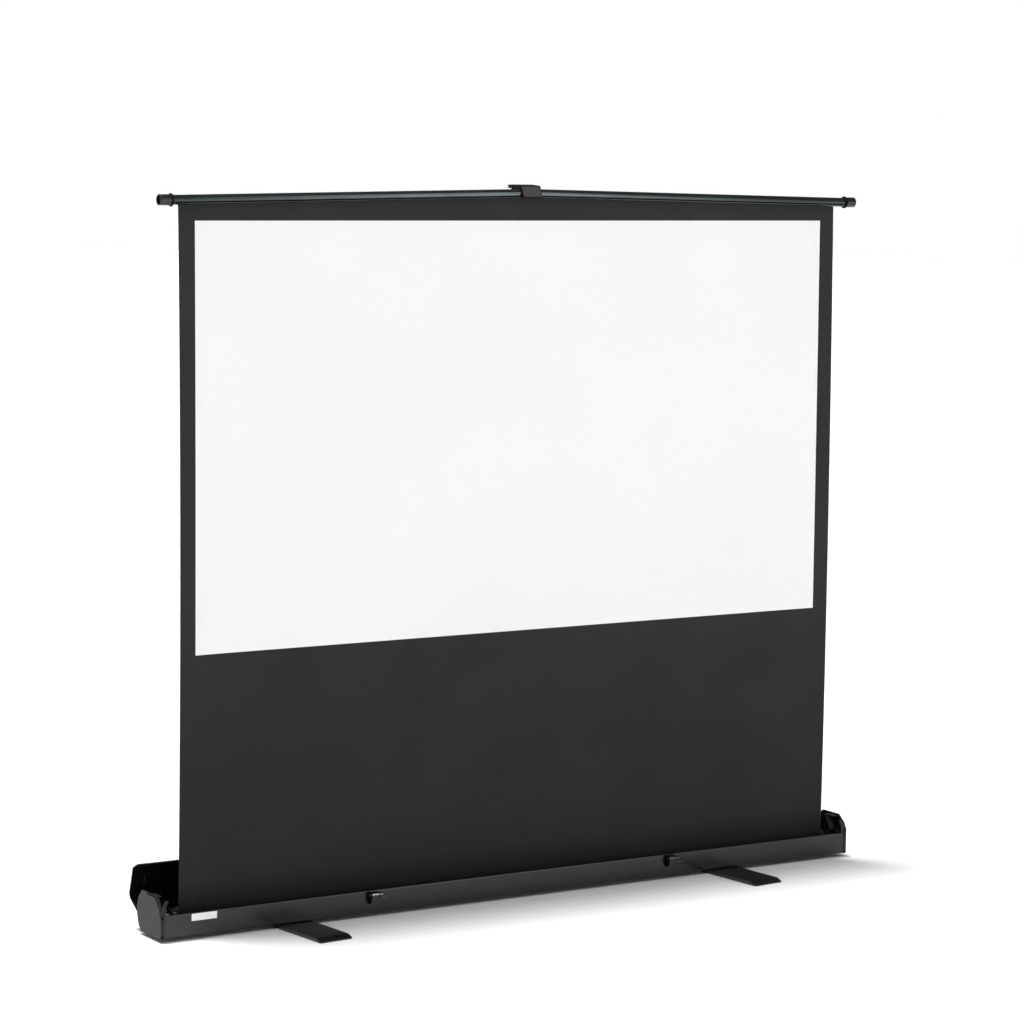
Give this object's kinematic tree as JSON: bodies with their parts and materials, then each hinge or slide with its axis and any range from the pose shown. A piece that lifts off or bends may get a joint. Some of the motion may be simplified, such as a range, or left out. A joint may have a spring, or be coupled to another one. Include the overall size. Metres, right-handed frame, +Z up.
{
  "type": "pull-up projection screen",
  "caption": "Floor-standing pull-up projection screen: long case with rear lid and swivelling feet, spring roller, white view area with black borders, bowed top bar on folding knee arms.",
  "frame": {"origin": "on the floor, under the middle of the case and centred between the feet's ends", "axes": "+X to the right along the case as a viewer sees it, +Y to the back, +Z up"},
  "size_m": [1.785, 0.435, 1.5732],
  "materials": {
    "case_paint": "satin black paint on sheet metal",
    "cap_moulding": "moulded black plastic, fine texture",
    "bar_paint": "satin black lacquer on aluminium tube",
    "plug_rubber": "matt moulded rubber",
    "plain_steel": "zinc plated steel",
    "latch_chrome": "black chromed steel",
    "black_cloth": "black-backed matt screen cloth",
    "white_cloth": "matt white projection coating",
    "bush_nylon": "black nylon",
    "label_white": "bare white vinyl label",
    "plate_gold": "bare dark name plate",
    "foot_paint": "black powder coat"
  },
  "bodies": {
    "case": {"trough": "case_paint", "end_cap_left": "cap_moulding", "end_cap_right": "cap_moulding", "end_block_left": "cap_moulding", "end_block_right": "cap_moulding", "cap_screws": "latch_chrome", "hinge_rod": "plain_steel", "blank_label": "label_white", "spring_spindle": "plain_steel", "idler_bush": "bush_nylon", "arm_base": "case_paint", "base_pins": "plain_steel", "latch_base_left": "bush_nylon", "latch_base_right": "bush_nylon", "latch_pin_left": "plain_steel", "latch_pin_right": "plain_steel", "foot_bolt_left": "plain_steel", "foot_bolt_right": "plain_steel", "fabric": "black_cloth", "screen_face": "white_cloth"},
    "foot_left": {"foot_left": "foot_paint", "foot_pads_left": "plug_rubber"},
    "foot_right": {"foot_right": "foot_paint", "foot_pads_right": "plug_rubber"},
    "lid": {"lid": "case_paint", "lid_catches": "plain_steel", "lid_seal": "plug_rubber"},
    "latch_left": {"latch_lever_left": "latch_chrome"},
    "latch_right": {"latch_lever_right": "latch_chrome"},
    "roller": {"roller_tube": "case_paint", "roller_plug_left": "cap_moulding", "roller_plug_right": "cap_moulding", "roller_spring": "plain_steel", "fabric_roll": "black_cloth"},
    "lower_right": {"lower_arm_right": "bar_paint", "elbow_pin_right": "plain_steel"},
    "upper_right": {"upper_arm_right": "bar_paint"},
    "lower_left": {"lower_arm_left": "bar_paint", "elbow_pin_left": "plain_steel"},
    "upper_left": {"upper_arm_left": "bar_paint"},
    "top_bar": {"top_bracket": "bar_paint", "top_pins": "plain_steel", "top_tube": "bar_paint", "collar_left": "bush_nylon", "collar_right": "bush_nylon", "end_plug_left": "plug_rubber", "end_plug_right": "plug_rubber", "hem_rod": "plain_steel", "hem_sleeve": "black_cloth", "clip": "bush_nylon", "clip_plate": "plate_gold"}
  },
  "joints": [
    {"name": "arm_lift", "type": "hinge", "parent": "case", "child": "lower_right", "pos_m": [0.024, 0.0238, 0.053], "axis": [0, -1, 0], "range_deg": [-66.6, 0], "deforming": ["fabric", "screen_face"]},
    {"name": "elbow_right", "type": "hinge", "parent": "lower_right", "child": "upper_right", "pos_m": [0.34172, 0.017, 0.7872], "axis": [0, -1, 0], "range_deg": [0, 133.2]},
    {"name": "bar_level", "type": "hinge", "parent": "upper_right", "child": "top_bar", "pos_m": [0.024, 0.017, 1.5214], "axis": [0, -1, 0], "range_deg": [-66.6, 0]},
    {"name": "arm_lift_left", "type": "hinge", "parent": "case", "child": "lower_left", "pos_m": [-0.024, 0.0238, 0.053], "axis": [0, -1, 0], "range_deg": [0, 66.6]},
    {"name": "elbow_left", "type": "hinge", "parent": "lower_left", "child": "upper_left", "pos_m": [-0.34172, 0.017, 0.7872], "axis": [0, -1, 0], "range_deg": [-133.2, 0]},
    {"name": "roller_spin", "type": "hinge", "parent": "case", "child": "roller", "pos_m": [0, -0.0125, 0.047], "axis": [1, 0, 0], "range_deg": [0, 4586]},
    {"name": "lid_hinge", "type": "hinge", "parent": "case", "child": "lid", "pos_m": [0, 0.054, 0.037], "axis": [1, 0, 0], "range_deg": [0, 8]},
    {"name": "foot_swivel_left", "type": "hinge", "parent": "case", "child": "foot_left", "pos_m": [-0.581, 0, 0.004], "axis": [0, 0, 1], "range_deg": [-95, 0]},
    {"name": "foot_swivel_right", "type": "hinge", "parent": "case", "child": "foot_right", "pos_m": [0.534, 0, 0.004], "axis": [0, 0, 1], "range_deg": [-10, 85]},
    {"name": "latch_turn_left", "type": "hinge", "parent": "case", "child": "latch_left", "pos_m": [-0.38, -0.065, 0.05], "axis": [1, 0, 0], "range_deg": [0, 70]},
    {"name": "latch_turn_right", "type": "hinge", "parent": "case", "child": "latch_right", "pos_m": [0.396, -0.065, 0.05], "axis": [1, 0, 0], "range_deg": [0, 70]}
  ],
  "couplings": [
    {"joint": "elbow_right", "follows": "arm_lift", "ratio": -2},
    {"joint": "bar_level", "follows": "arm_lift", "ratio": 1},
    {"joint": "arm_lift_left", "follows": "arm_lift", "ratio": -1},
    {"joint": "elbow_left", "follows": "arm_lift", "ratio": 2},
    {"joint": "roller_spin", "follows": "arm_lift", "ratio": -68.85}
  ]
}
